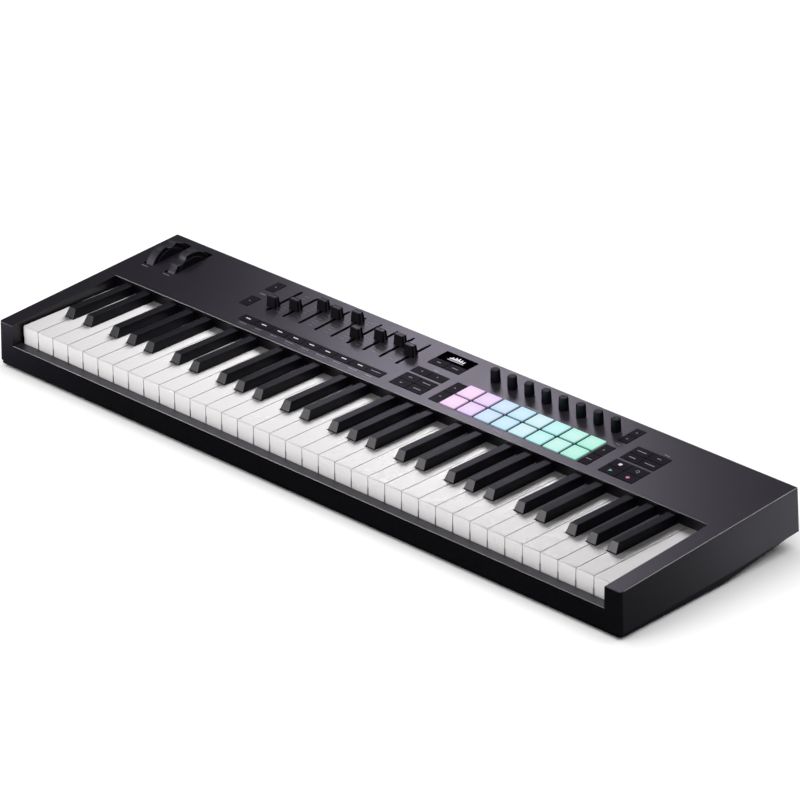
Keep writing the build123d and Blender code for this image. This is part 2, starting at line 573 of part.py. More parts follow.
WHITE_NAMES = "CDEFGAB"
BLACK_NAMES = {0: "c_sharp", 1: "d_sharp", 3: "f_sharp", 4: "g_sharp", 5: "a_sharp"}
for n, letter in enumerate(WHITE_NAMES):
    save(f"white_keys_{letter.lower()}", [make_white(i) for i in range(n, WHITES, 7)])
for n, name in BLACK_NAMES.items():
    save(f"black_keys_{name}", [make_black(i) for i in range(n, WHITES - 1, 7)])

save("control_board", make_control_board())
save("pad_sensor_sheet", pbox(48.7, 240.1, 162.4, 212.2, BOARD_W[1], BOARD_W[1] + 0.5))
save("fader_bodies", [make_fader_body(i) for i in range(9)])
save("encoder_bodies", [make_encoder_body(i) for i in range(8)])
for i in range(9):
    save(f"fader_cap_{i + 1}", make_fader(i))
for i in range(8):
    save(f"encoder_knob_{i + 1}", make_knob(i))
save("pads_lower", [make_pad(PAD_X0 + PAD_PITCH * i, *PAD_ROWS[0]) for i in range(8)])
save("pads_upper", [make_pad(PAD_X0 + PAD_PITCH * i, *PAD_ROWS[1]) for i in range(8)])
save("octave_buttons", [make_button(r) for r in OCTAVE])
save("fader_buttons", [make_button(r) for r in STRIP])
save("centre_buttons", [make_button(r) for r in SCREEN_BTN + TRACK + MODE])
save("pad_side_buttons", [make_button(r) for r in SCROLL + PAD_SIDE])
save("encoder_bank_buttons", [make_button(r) for r in BANK])
save("transport_buttons", [make_button(r) for r in EDIT + TRANSPORT])

save("display_window", pbox(WINDOW[0], WINDOW[1], WINDOW[2], WINDOW[3], -1.5, 0.0, 0.9))
save("display_module", pbox(-20.5, 20.5, 236.5, 250.5, BOARD_W[1], -1.5))

save("wheel_bracket", make_wheel_bracket())
save("pitch_wheel", make_wheel(WHEEL_X[0], -90, 90, 0))
save("mod_wheel", make_wheel(WHEEL_X[1], -120, 60, -30))

save("rear_socket_board", box(-88, -7, 230.0, 258.0, 26.0, 27.6))
save("usb_socket", make_usb())
save("midi_socket", make_midi())
save("pedal_jack", make_jack())
save("flat_cables", [
    box(-152, -132, 134.0, 134.6, 16.6, 20.0) + box(-152, -132, 134.0, 196.0, 16.6, 17.2) + box(-152, -132, 195.4, 196.0, 16.6, 50.9),
    box(150, 170, 134.0, 134.6, 16.6, 20.0) + box(150, 170, 134.0, 196.0, 16.6, 17.2) + box(150, 170, 195.4, 196.0, 16.6, 50.9),
    box(-60, -46, 233.0, 233.6, 27.6, 53.0)])
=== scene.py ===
import math
import random

import bpy
import bmesh
from mathutils import Matrix, Vector


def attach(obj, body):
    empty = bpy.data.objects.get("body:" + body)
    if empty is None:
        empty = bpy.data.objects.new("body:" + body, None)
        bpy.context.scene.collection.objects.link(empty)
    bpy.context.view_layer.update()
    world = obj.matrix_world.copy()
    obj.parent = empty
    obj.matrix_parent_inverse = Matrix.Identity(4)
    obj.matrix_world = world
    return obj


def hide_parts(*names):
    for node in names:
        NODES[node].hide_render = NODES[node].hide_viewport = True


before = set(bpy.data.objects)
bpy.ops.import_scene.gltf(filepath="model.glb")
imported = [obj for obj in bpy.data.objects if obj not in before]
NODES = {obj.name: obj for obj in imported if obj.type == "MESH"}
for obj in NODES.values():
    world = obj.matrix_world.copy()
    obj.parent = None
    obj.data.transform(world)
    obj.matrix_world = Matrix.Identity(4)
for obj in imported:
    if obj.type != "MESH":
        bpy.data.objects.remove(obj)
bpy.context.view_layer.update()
random.seed(61)

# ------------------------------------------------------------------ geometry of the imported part
FRONT_Y, DEPTH, FOOT = -1.0, 265.7, 4.0
MID_Y = (FRONT_Y + DEPTH) / 2
SLOPE, FRONT_H = 0.0559, 49.3
HALF_TOP, HALF_BOT = 447.3, 449.4
ANG = math.atan(SLOPE)
CA, SA = math.cos(ANG), math.sin(ANG)
REAR_Y, REAR_Z, REAR_LOW_Z = 263.3, 49.3 + 0.0559 * 263.3, 14.6
PITCH = 23.6
FADER_X0, FADER_PITCH = -238.6, 24.05
FADER_POS = (207.5, 217.6, 235.8, 232.3, 239.1, 212.9, 225.0, 230.3, 220.9)
ENC_X0, ENC_PITCH, ENC_Y, ENC_H = 62.7, 23.99, 235.0, 15.0
PAD_X0, PAD_PITCH, PAD_W = 49.8, 24.05, 20.9
PAD_ROWS = ((163.6, 186.2), (188.8, 211.4))
BTN_UP = 0.5
OCTAVE = [(-275.5, -262.2, 190.8, 211.8), (-275.5, -262.2, 230.3, 251.2)]
STRIP = [(-249.6 + 23.63 * i, -249.6 + 23.63 * i + 23.03, 164.2, 176.6) for i in range(9)]
SCREEN_BTN = [(-22.7, -0.3, 221.0, 234.2), (0.3, 22.7, 221.0, 234.2)]
TRACK = [(-23.6, -1.1, 196.1, 209.0), (-0.5, 22.0, 196.1, 209.0)]
MODE = [(x, x + 22.5, y, y + 13.8) for y in (164.0, 178.4) for x in (-23.6, -0.5)]
SCROLL = [(33.7, 47.3, 163.4, 185.8), (33.7, 47.3, 186.4, 208.8)]
BANK = [(244.1, 256.9, 221.3, 236.5), (244.1, 256.9, 237.1, 252.3)]
PAD_SIDE = [(241.6, 254.8, 163.4, 185.5), (241.6, 254.8, 186.1, 208.2)]
EDIT = [(x, x + 22.4, y, y + 14.1) for y in (196.5, 211.2) for x in (269.7, 292.7)]
TRANSPORT = [(x, x + 22.5, y, y + 14.3) for y in (163.5, 178.4) for x in (269.5, 292.6)]
WHEEL_R, WHEEL_W, WHEEL_Y, WHEEL_Z = 31.0, 11.6, 222.0, 45.2
WHEEL_X = (-419.5, -385.45)
SCOOP_R, SCOOP_OUT = 9.5, 5.0


def case(x, y, z):
    """Point from the case's own millimetres to the row frame in metres."""
    return Vector((x / 1000, (y - MID_Y) / 1000, (z + FOOT) / 1000))


def panel(x, y, w=0.0):
    """Point on the top panel; w is millimetres above its face."""
    v = y / CA
    return case(x, v * CA - w * SA, FRONT_H + v * SA + w * CA)


def rear(x, z, out=0.0):
    """Point on the rear face; out is millimetres behind it."""
    t = (REAR_Z - z) / (REAR_Z - REAR_LOW_Z)
    lean = math.atan((DEPTH - REAR_Y) / (REAR_Z - REAR_LOW_Z))
    return case(x, REAR_Y + t * (DEPTH - REAR_Y) + out * math.cos(lean), z + out * math.sin(lean))


# ------------------------------------------------------------------ materials
def new_material(name):
    m = bpy.data.materials.new(name)
    m.use_nodes = True
    nt = m.node_tree
    bsdf = next(n for n in nt.nodes if n.type == "BSDF_PRINCIPLED")
    return m, nt, bsdf


def paint_well_shade(nt, tc, shade):
    """Painted shade: the walls of the slots and button wells, just below the panel's face, are coloured almost black in
    place of the shade that falls there.
    """
    nodes, links = nt.nodes, nt.links
    sep = nodes.new("ShaderNodeSeparateXYZ")
    links.new(tc.outputs["Object"], sep.inputs[0])

    def math_node(op, a, b=None, c=None):
        n = nodes.new("ShaderNodeMath")
        n.operation = op
        for k, v in enumerate((a, b, c)):
            if v is None:
                continue
            if isinstance(v, (int, float)):
                n.inputs[k].default_value = v
            else:
                links.new(v, n.inputs[k])
        return n.outputs[0]

    plane = math_node("MULTIPLY_ADD", sep.outputs["Y"], SLOPE, (FOOT + FRONT_H + SLOPE * MID_Y) / 1000)
    below = math_node("LESS_THAN", math_node("SUBTRACT", sep.outputs["Z"], plane), -0.00035)
    inside_x = math_node("LESS_THAN", math_node("ABSOLUTE", sep.outputs["X"]), 0.443)
    behind = math_node("GREATER_THAN", sep.outputs["Y"], (151.6 - MID_Y) / 1000)
    ahead = math_node("LESS_THAN", sep.outputs["Y"], (259.0 - MID_Y) / 1000)
    well_shade_mask = math_node("MULTIPLY", math_node("MULTIPLY", below, inside_x), math_node("MULTIPLY", behind, ahead))
    mix = nodes.new("ShaderNodeMix")
    mix.data_type = "RGBA"
    links.new(well_shade_mask, mix.inputs["Factor"])
    links.new(shade, mix.inputs["A"])
    # painted shade: almost black colour for the well walls
    mix.inputs["B"].default_value = (0.0006, 0.0006, 0.0008, 1)
    return mix.outputs["Result"]


def moulded(name, color, rough, spec=0.5, grain=2200.0, bump=0.25, tint=0.10, rough_var=0.05,
            coat=0.0, coat_rough=0.3, metallic=0.0, sheen=0.0, blotch=9.0, dist=0.00004, wells=False):
    """Moulded plastic, rubber or coated metal: fine grain in the bump, cloudy colour and gloss."""
    m, nt, b = new_material(name)
    nodes, links = nt.nodes, nt.links
    tc = nodes.new("ShaderNodeTexCoord")
    fine = nodes.new("ShaderNodeTexNoise")
    fine.inputs["Scale"].default_value = grain
    fine.inputs["Detail"].default_value = 3.0
    fine.inputs["Roughness"].default_value = 0.6
    links.new(tc.outputs["Object"], fine.inputs["Vector"])
    cloud = nodes.new("ShaderNodeTexNoise")
    cloud.inputs["Scale"].default_value = blotch
    cloud.inputs["Detail"].default_value = 5.0
    cloud.inputs["Roughness"].default_value = 0.55
    links.new(tc.outputs["Object"], cloud.inputs["Vector"])
    ramp = nodes.new("ShaderNodeValToRGB")
    lo = [c * (1 - tint) for c in color]
    hi = [min(1.0, c * (1 + tint)) for c in color]
    ramp.color_ramp.elements[0].position = 0.3
    ramp.color_ramp.elements[0].color = (*lo, 1)
    ramp.color_ramp.elements[1].position = 0.7
    ramp.color_ramp.elements[1].color = (*hi, 1)
    mixv = nodes.new("ShaderNodeMath")
    mixv.operation = "MULTIPLY_ADD"
    mixv.inputs[1].default_value = 0.35
    links.new(fine.outputs["Fac"], mixv.inputs[0])
    sc = nodes.new("ShaderNodeMath")
    sc.operation = "MULTIPLY"
    sc.inputs[1].default_value = 0.65
    links.new(cloud.outputs["Fac"], sc.inputs[0])
    links.new(sc.outputs[0], mixv.inputs[2])
    links.new(mixv.outputs[0], ramp.inputs["Fac"])
    shade = ramp.outputs["Color"]
    # optional painted shade: the slot and button-well walls get an almost black colour
    if wells:
        shade = paint_well_shade(nt, tc, shade)
    links.new(shade, b.inputs["Base Color"])
    mr = nodes.new("ShaderNodeMapRange")
    mr.inputs["From Min"].default_value = 0.3
    mr.inputs["From Max"].default_value = 0.7
    mr.inputs["To Min"].default_value = rough - rough_var
    mr.inputs["To Max"].default_value = rough + rough_var
    links.new(cloud.outputs["Fac"], mr.inputs["Value"])
    links.new(mr.outputs["Result"], b.inputs["Roughness"])
    bp = nodes.new("ShaderNodeBump")
    bp.inputs["Strength"].default_value = bump
    bp.inputs["Distance"].default_value = dist
    links.new(fine.outputs["Fac"], bp.inputs["Height"])
    links.new(bp.outputs["Normal"], b.inputs["Normal"])
    b.inputs["Specular IOR Level"].default_value = spec
    b.inputs["Metallic"].default_value = metallic
    b.inputs["Coat Weight"].default_value = coat
    b.inputs["Coat Roughness"].default_value = coat_rough
    b.inputs["Sheen Weight"].default_value = sheen
    return m


def print_ink(name, color, strength):
    """Printed or back-lit marking: slightly uneven ink that glows a little."""
    m, nt, b = new_material(name)
    nodes, links = nt.nodes, nt.links
    tc = nodes.new("ShaderNodeTexCoord")
    n = nodes.new("ShaderNodeTexNoise")
    n.inputs["Scale"].default_value = 900.0
    links.new(tc.outputs["Object"], n.inputs["Vector"])
    r = nodes.new("ShaderNodeValToRGB")
    r.color_ramp.elements[0].color = (*[c * 0.82 for c in color], 1)
    r.color_ramp.elements[1].color = (*color, 1)
    links.new(n.outputs["Fac"], r.inputs["Fac"])
    links.new(r.outputs["Color"], b.inputs["Base Color"])
    if strength > 0:
        links.new(r.outputs["Color"], b.inputs["Emission Color"])
        b.inputs["Emission Strength"].default_value = strength
    b.inputs["Roughness"].default_value = 0.5
    return m


M = {}
# the case colour carries painted shade in its slot and button wells
M["case"] = moulded("moulded_case_top", (0.0058, 0.0054, 0.0082), 0.39, spec=0.5, bump=0.18, tint=0.05, rough_var=0.02, wells=True)
M["edge"] = moulded("moulded_case_edge", (0.0060, 0.0057, 0.0080), 0.39, spec=0.5, bump=0.08, tint=0.05, rough_var=0.02)
# near-black: the fader bodies' own black, darkened further as painted shade seen down the slots; also the painted shade
# strips along the slots
M["inner"] = moulded("black_fader_frame_slot_shade", (0.0010, 0.0010, 0.0012), 0.7, spec=0.05, bump=0.2)
# painted shade for the gaps between the pads
M["frame_dark"] = moulded("pad_gap_shade_paint", (0.0030, 0.0030, 0.0042), 0.55, spec=0.14, bump=0.2)
M["tray"] = moulded("moulded_case_tray", (0.0045, 0.0044, 0.0058), 0.55, spec=0.25, bump=0.35, tint=0.10)
M["screw"] = moulded("zinc_black_screw", (0.10, 0.10, 0.11), 0.35, metallic=1.0, grain=3500, bump=0.15)
M["foot"] = moulded("rubber_foot", (0.018, 0.018, 0.018), 0.8, spec=0.3, bump=0.5)
M["frame"] = moulded("moulded_frame", (0.012, 0.012, 0.014), 0.55, spec=0.3, bump=0.3)
M["rod"] = moulded("ground_steel", (0.55, 0.55, 0.57), 0.25, metallic=1.0, grain=1500, bump=0.1)
M["board"] = moulded("solder_mask", (0.004, 0.020, 0.011), 0.4, spec=0.3, bump=0.1)
M["contact"] = moulded("contact_rubber", (0.20, 0.20, 0.21), 0.7, bump=0.3)
M["felt"] = moulded("wool_felt", (0.035, 0.006, 0.008), 0.95, spec=0.1, grain=900, bump=1.0, dist=0.0004, sheen=0.3, tint=0.3)
M["white"] = moulded("white_key_plastic", (0.797, 0.778, 0.775), 0.26, spec=0.5, grain=1600, bump=0.05, tint=0.015, rough_var=0.03, coat=0.15, coat_rough=0.15)
M["black"] = moulded("black_key_plastic", (0.0046, 0.0044, 0.0062), 0.42, spec=0.20, grain=2600, bump=0.40, tint=0.10)
M["control"] = moulded("control_plastic", (0.0052, 0.0050, 0.0070), 0.38, spec=0.45, grain=2600, bump=0.35, tint=0.10)
M["ridge"] = moulded("cap_ridge_light_grey", (0.085, 0.083, 0.095), 0.40, spec=0.5, grain=2600, bump=0.3, tint=0.08)
M["button"] = moulded("button_rubber", (0.0070, 0.0066, 0.0094), 0.60, spec=0.11, grain=2600, bump=0.4, tint=0.08)
M["film"] = moulded("sensor_film", (0.004, 0.004, 0.005), 0.6, spec=0.1)
M["metal"] = moulded("plated_steel", (0.22, 0.22, 0.23), 0.45, metallic=1.0, grain=900, bump=0.1)
M["wheel"] = moulded("wheel_rubber", (0.0062, 0.0060, 0.0085), 0.55, spec=0.40, grain=2600, bump=0.6, tint=0.10)
M["chrome"] = moulded("plated_socket", (0.72, 0.72, 0.74), 0.14, metallic=1.0, grain=1200, bump=0.05)
M["socket"] = moulded("socket_plastic", (0.006, 0.006, 0.006), 0.45, spec=0.4)
M["cable"] = moulded("cable_film", (0.60, 0.60, 0.58), 0.5)
M["glass"] = moulded("window_gloss", (0.0010, 0.0008, 0.0016), 0.75, spec=0.0, grain=400, bump=0.01, tint=0.2, rough_var=0.02)
M["ink"] = print_ink("ink_white", (0.48, 0.48, 0.50), 0.0)
M["ink_dim"] = print_ink("ink_grey", (0.20, 0.20, 0.21), 0.0)
M["led_white"] = print_ink("led_white", (0.9, 0.9, 0.9), 0.35)
M["led_green"] = print_ink("led_green", (0.16, 0.62, 0.36), 0.25)
M["led_red"] = print_ink("led_red", (0.80, 0.25, 0.40), 0.25)
M["oled"] = print_ink("oled_lit", (0.9, 0.9, 0.9), 0.5)

PAD_COLORS = [(0.975, 0.820, 0.965), (0.915, 0.800, 0.985), (0.770, 0.880, 0.980), (0.740, 0.910, 0.985),
              (0.785, 0.935, 0.965), (0.700, 0.955, 0.950), (0.705, 0.955, 0.905), (0.640, 0.945, 0.850)]


def srgb(c):
    return tuple(v / 12.92 if v <= 0.04045 else ((v + 0.055) / 1.055) ** 2.4 for v in c)


def pad_material(name, row):
    """Milky silicone lit from below: one hue per pad, brightest over its lamp, deeper at its rim."""
    m, nt, b = new_material(name)
    nodes, links = nt.nodes, nt.links
    tc = nodes.new("ShaderNodeTexCoord")
    sep = nodes.new("ShaderNodeSeparateXYZ")
    links.new(tc.outputs["Object"], sep.inputs[0])
    # column number, 0 to 8, then a stepped ramp of hues
    col = nodes.new("ShaderNodeMapRange")
    gap = (PAD_PITCH - PAD_W) / 2
    col.inputs["From Min"].default_value = (PAD_X0 - gap) / 1000
    col.inputs["From Max"].default_value = (PAD_X0 - gap + 8 * PAD_PITCH) / 1000
    col.inputs["To Min"].default_value = 0.0
    col.inputs["To Max"].default_value = 1.0
    links.new(sep.outputs["X"], col.inputs["Value"])
    hue = nodes.new("ShaderNodeValToRGB")
    hue.color_ramp.interpolation = "CONSTANT"
    els = hue.color_ramp.elements
    els[0].position, els[0].color = 0.0, (*srgb(PAD_COLORS[0]), 1)
    els[1].position, els[1].color = 1 / 8, (*srgb(PAD_COLORS[1]), 1)
    for i in range(2, 8):
        e = els.new(i / 8)
        e.color = (*srgb(PAD_COLORS[i]), 1)
    links.new(col.outputs["Result"], hue.inputs["Fac"])
    # distance from the pad's middle, 0 at the lamp and 1 at the rim
    frac = nodes.new("ShaderNodeMath"); frac.operation = "MULTIPLY"
    frac.inputs[1].default_value = 8.0
    links.new(col.outputs["Result"], frac.inputs[0])
    fr = nodes.new("ShaderNodeMath"); fr.operation = "FRACT"
    links.new(frac.outputs[0], fr.inputs[0])
    dx = nodes.new("ShaderNodeMath"); dx.operation = "SUBTRACT"; dx.inputs[1].default_value = 0.5
    links.new(fr.outputs[0], dx.inputs[0])
    y0, y1 = PAD_ROWS[row]
    yc = ((y0 + y1) / 2 - MID_Y) / 1000
    dy = nodes.new("ShaderNodeMath"); dy.operation = "SUBTRACT"; dy.inputs[1].default_value = yc
    links.new(sep.outputs["Y"], dy.inputs[0])
    dy2 = nodes.new("ShaderNodeMath"); dy2.operation = "MULTIPLY"; dy2.inputs[1].default_value = 1000 / (y1 - y0)
    links.new(dy.outputs[0], dy2.inputs[0])
    comb = nodes.new("ShaderNodeCombineXYZ")
    links.new(dx.outputs[0], comb.inputs["X"]); links.new(dy2.outputs[0], comb.inputs["Y"])
    ln = nodes.new("ShaderNodeVectorMath"); ln.operation = "LENGTH"
    links.new(comb.outputs[0], ln.inputs[0])
    glow = nodes.new("ShaderNodeMapRange")
    glow.interpolation_type = "SMOOTHSTEP"
    glow.inputs["From Min"].default_value = 0.08
    glow.inputs["From Max"].default_value = 0.72
    glow.inputs["To Min"].default_value = 0.34
    glow.inputs["To Max"].default_value = 0.0
    links.new(ln.outputs["Value"], glow.inputs["Value"])
    white = nodes.new("ShaderNodeMix"); white.data_type = "RGBA"
    links.new(glow.outputs["Result"], white.inputs["Factor"])
    links.new(hue.outputs["Color"], white.inputs["A"])
    white.inputs["B"].default_value = (1, 1, 1, 1)
    # milky mottling
    n = nodes.new("ShaderNodeTexNoise"); n.inputs["Scale"].default_value = 260.0; n.inputs["Detail"].default_value = 4.0
    links.new(tc.outputs["Object"], n.inputs["Vector"])
    mul = nodes.new("ShaderNodeMapRange")
    mul.inputs["To Min"].default_value = 0.93; mul.inputs["To Max"].default_value = 1.05
    links.new(n.outputs["Fac"], mul.inputs["Value"])
    vm = nodes.new("ShaderNodeVectorMath"); vm.operation = "SCALE"
    links.new(white.outputs["Result"], vm.inputs[0]); links.new(mul.outputs["Result"], vm.inputs["Scale"])
    # painted shade: the glow of the pad walls, which face the gaps between the pads, is cut by their facing to 0.42 of
    # the tops'
    nsep = nodes.new("ShaderNodeSeparateXYZ")
    links.new(tc.outputs["Normal"], nsep.inputs[0])
    top = nodes.new("ShaderNodeMapRange")
    top.inputs["From Min"].default_value = 0.55
    top.inputs["From Max"].default_value = 0.95
    top.inputs["To Min"].default_value = 0.42
    top.inputs["To Max"].default_value = 1.0
    links.new(nsep.outputs["Z"], top.inputs["Value"])
    lit = nodes.new("ShaderNodeVectorMath"); lit.operation = "SCALE"
    links.new(vm.outputs["Vector"], lit.inputs[0]); links.new(top.outputs["Result"], lit.inputs["Scale"])
    links.new(lit.outputs["Vector"], b.inputs["Emission Color"])
    body = nodes.new("ShaderNodeVectorMath"); body.operation = "SCALE"
    body.inputs["Scale"].default_value = 0.22
    links.new(hue.outputs["Color"], body.inputs[0])
    links.new(body.outputs["Vector"], b.inputs["Base Color"])
    b.inputs["Emission Strength"].default_value = 0.92
    b.inputs["Roughness"].default_value = 0.5
    b.inputs["Specular IOR Level"].default_value = 0.35
    fine = nodes.new("ShaderNodeTexNoise"); fine.inputs["Scale"].default_value = 2200.0
    links.new(tc.outputs["Object"], fine.inputs["Vector"])
    bp = nodes.new("ShaderNodeBump"); bp.inputs["Strength"].default_value = 0.25; bp.inputs["Distance"].default_value = 0.00004
    links.new(fine.outputs["Fac"], bp.inputs["Height"]); links.new(bp.outputs["Normal"], b.inputs["Normal"])
    return m


M["pad_lower"] = pad_material("pad_silicone_lower", 0)
M["pad_upper"] = pad_material("pad_silicone_upper", 1)

NODE_MATERIAL = {
    "top_case": "case", "bottom_case": "tray", "case_screws": "screw", "rubber_feet": "foot",
    "keybed_chassis": "frame", "key_pivot_rod": "rod", "key_contact_board": "board",
    "key_contact_rubbers": "contact", "key_felts": "felt", "control_board": "board",
    "pad_sensor_sheet": "film", "fader_bodies": "inner", "encoder_bodies": "metal",
    "display_window": "glass", "display_module": "metal", "wheel_bracket": "frame",
    "rear_socket_board": "board", "usb_socket": "chrome", "midi_socket": "socket",
    "pedal_jack": "chrome", "flat_cables": "cable", "pads_lower": "pad_lower", "pads_upper": "pad_upper",
    "pitch_wheel": "wheel", "mod_wheel": "wheel",
}


def material_of(node):
    if node.startswith("white_keys"):
        return M["white"]
    if node.startswith("black_keys"):
        return M["black"]
    if node.endswith("_buttons"):
        return M["button"]
    if node.startswith(("fader_cap", "encoder_knob")):
        return M["control"]
    return M[NODE_MATERIAL[node]]


for node_name, obj in NODES.items():
    obj.data.materials.clear()
    obj.data.materials.append(material_of(node_name))


# ------------------------------------------------------------------ mesh helpers
def finish_piece(name, bm, material, body, smooth=None, bevel=None):
    me = bpy.data.meshes.new(name)
    bmesh.ops.recalc_face_normals(bm, faces=bm.faces)
    bm.to_mesh(me)
    bm.free()
    ob = bpy.data.objects.new(name, me)
    bpy.context.scene.collection.objects.link(ob)
    for mat in material if isinstance(material, (list, tuple)) else [material]:
        me.materials.append(mat)
    if bevel:
        mod = ob.modifiers.new("soft_edges", "BEVEL")
        mod.width = bevel / 1000
        mod.segments = 3
        mod.limit_method = "ANGLE"
        mod.angle_limit = math.radians(32)
        mod.harden_normals = False
    if smooth is not None:
        for p in me.polygons:
            p.use_smooth = True
        me.set_sharp_from_angle(angle=math.radians(smooth))
    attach(ob, body)
    return ob


def slab(bm, pts, place, w0, w1, mat=0):
    """Flat shape with a closed outline pts (x, y), raised from w0 to w1 by place(x, y, w)."""
    lower = [bm.verts.new(place(x, y, w0)) for x, y in pts]
    upper = [bm.verts.new(place(x, y, w1)) for x, y in pts]
    faces = [bm.faces.new(upper), bm.faces.new(lower[::-1])]
    n = len(pts)
    for i in range(n):
        j = (i + 1) % n
        faces.append(bm.faces.new((lower[i], lower[j], upper[j], upper[i])))
    for f in faces:
        f.material_index = mat
    return faces


def rect(x0, x1, y0, y1):
    return [(x0, y0), (x1, y0), (x1, y1), (x0, y1)]


def rounded(x0, x1, y0, y1, r, n=4):
    pts = []
    for cx, cy, a0 in ((x1 - r, y0 + r, -90), (x1 - r, y1 - r, 0), (x0 + r, y1 - r, 90), (x0 + r, y0 + r, 180)):
        for k in range(n + 1):
            a = math.radians(a0 + 90 * k / n)
            pts.append((cx + r * math.cos(a), cy + r * math.sin(a)))
    return pts


def disc(cx, cy, r, n=20):
    return [(cx + r * math.cos(2 * math.pi * k / n), cy + r * math.sin(2 * math.pi * k / n)) for k in range(n)]


def word(cx, cy, length, height, seed):
    """Outline blocks that stand for a short printed word: no letters, only even-height dashes."""
    rng = random.Random(seed)
    out, x = [], cx - length / 2
    while x < cx + length / 2 - 0.3:
        w = min(rng.uniform(0.75, 1.5), cx + length / 2 - x)
        out.append(rect(x, x + w, cy - height / 2, cy + height / 2))
        x += w + 0.32
    return out


# ------------------------------------------------------------------ legends on the buttons
INK_W = (BTN_UP - 0.02, BTN_UP + 0.05)


def chevron(cx, cy, size, heading, thick=0.75):
    """Arrow head made of two bars; heading in degrees, 0 points to +X."""
    a = math.radians(heading)
    c, s = math.cos(a), math.sin(a)
    def turn(p):
        return (cx + p[0] * c - p[1] * s, cy + p[0] * s + p[1] * c)
    h = size / 2
    tip = 0.5 * size
    outer = [(-tip * 0.5, h), (tip * 0.5, 0), (-tip * 0.5, -h)]
    t = thick
    inner = [(-tip * 0.5 - t, -h), (tip * 0.5 - t * 1.25, 0), (-tip * 0.5 - t, h)]
    pts = [turn(p) for p in (outer[0], outer[1], outer[2], inner[0], inner[1], inner[2])]
    return [[pts[0], pts[1], pts[4], pts[5]], [pts[1], pts[2], pts[3], pts[4]]]


def middle(r):
    return (r[0] + r[1]) / 2, (r[2] + r[3]) / 2


def legend(name, body, shapes, material, w=INK_W):
    bm = bmesh.new()
    for pts in shapes:
        slab(bm, pts, panel, w[0], w[1])
    return finish_piece(name, bm, material, body)


def ring_arc(cx, cy, r0, r1, a0, a1, n=22):
    """Open ring, as a list of small quads."""
    out = []
    for k in range(n):
        b0 = math.radians(a0 + (a1 - a0) * k / n)
        b1 = math.radians(a0 + (a1 - a0) * (k + 1) / n)
        out.append([(cx + r0 * math.cos(b0), cy + r0 * math.sin(b0)), (cx + r1 * math.cos(b0), cy + r1 * math.sin(b0)),
                    (cx + r1 * math.cos(b1), cy + r1 * math.sin(b1)), (cx + r0 * math.cos(b1), cy + r0 * math.sin(b1))])
    return out


def make_legends():
    # fader buttons: a lit dash each, a plain bar on the last
    dashes = []
    for i in range(8):
        cx, cy = -239.8 + 24.0 * i, 171.0
        dashes.append(rounded(cx - 3.5, cx + 3.5, cy - 0.72, cy + 0.72, 0.5, 3))
    legend("lamps_fader_buttons", "fader_buttons", dashes, M["led_white"])
    legend("mark_fader_buttons", "fader_buttons", word(-49.0, 171.0, 13.5, 1.2, 9), M["ink"])
    # octave
    s = []
    for r in OCTAVE:
        cx, cy = middle(r)
        s.append(disc(cx, cy, 0.9, 14))
    legend("marks_octave", "octave_buttons", s, M["ink"])
    # centre cluster
    s = []
    for k, r in enumerate(SCREEN_BTN):
        cx, cy = middle(r)
        s += word(cx, cy, 5.2 if k == 0 else 8.6, 1.3, 20 + k)
    for k, r in enumerate(TRACK):
        cx, cy = middle(r)
        s += chevron(cx, cy, 2.6, 180 if k == 0 else 0)
    for k, (r, n) in enumerate(zip(MODE, (3.2, 10.5, 4.6, 10.5))):
        cx, cy = middle(r)
        s += word(cx, cy, n, 1.3, 30 + k)
    legend("marks_centre", "centre_buttons", s, M["ink"])
    # beside the pads
    s = []
    cx, cy = middle(SCROLL[0]); s += chevron(cx, cy, 2.8, -90)
    cx, cy = middle(SCROLL[1]); s += chevron(cx, cy, 2.8, 90)
    cx, cy = middle(PAD_SIDE[1]); s += chevron(cx, cy, 3.0, 0)
    cx, cy = middle(PAD_SIDE[0]); s += word(cx, cy, 7.6, 1.3, 40)
    legend("marks_pad_side", "pad_side_buttons", s, M["ink"])
    s = []
    cx, cy = middle(BANK[0]); s += chevron(cx, cy, 2.8, -90)
    cx, cy = middle(BANK[1]); s += chevron(cx, cy, 2.8, 90)
    legend("marks_encoder_bank", "encoder_bank_buttons", s, M["ink"])
    # edit cluster
    s = []
    for k, (r, n) in enumerate(zip(EDIT, (9.0, 12.5, 12.0, 5.2))):
        cx, cy = middle(r)
        s += word(cx, cy, n, 1.3, 50 + k)
    # transport: play and record in front, stop and loop behind
    cx, cy = middle(TRANSPORT[3])
    s += ring_arc(cx, cy, 1.55, 2.3, -60, 210)
    a = math.radians(-60)
    ax, ay = cx + 1.93 * math.cos(a), cy + 1.93 * math.sin(a)
    s.append([(ax - 1.5, ay - 0.2), (ax + 0.9, ay + 1.1), (ax + 0.6, ay - 1.5)])
    legend("marks_transport", "transport_buttons", s, M["ink"])
    cx, cy = middle(TRANSPORT[2])
    legend("lamp_stop", "transport_buttons", [rounded(cx - 1.9, cx + 1.9, cy - 1.9, cy + 1.9, 0.4, 2)], M["led_white"])
    cx, cy = middle(TRANSPORT[0])
    legend("lamp_play", "transport_buttons", [[(cx - 1.7, cy - 2.2), (cx + 2.3, cy), (cx - 1.7, cy + 2.2)]], M["led_green"])
    cx, cy = middle(TRANSPORT[1])
    legend("lamp_record", "transport_buttons", [disc(cx, cy, 2.1, 22)], M["led_red"])


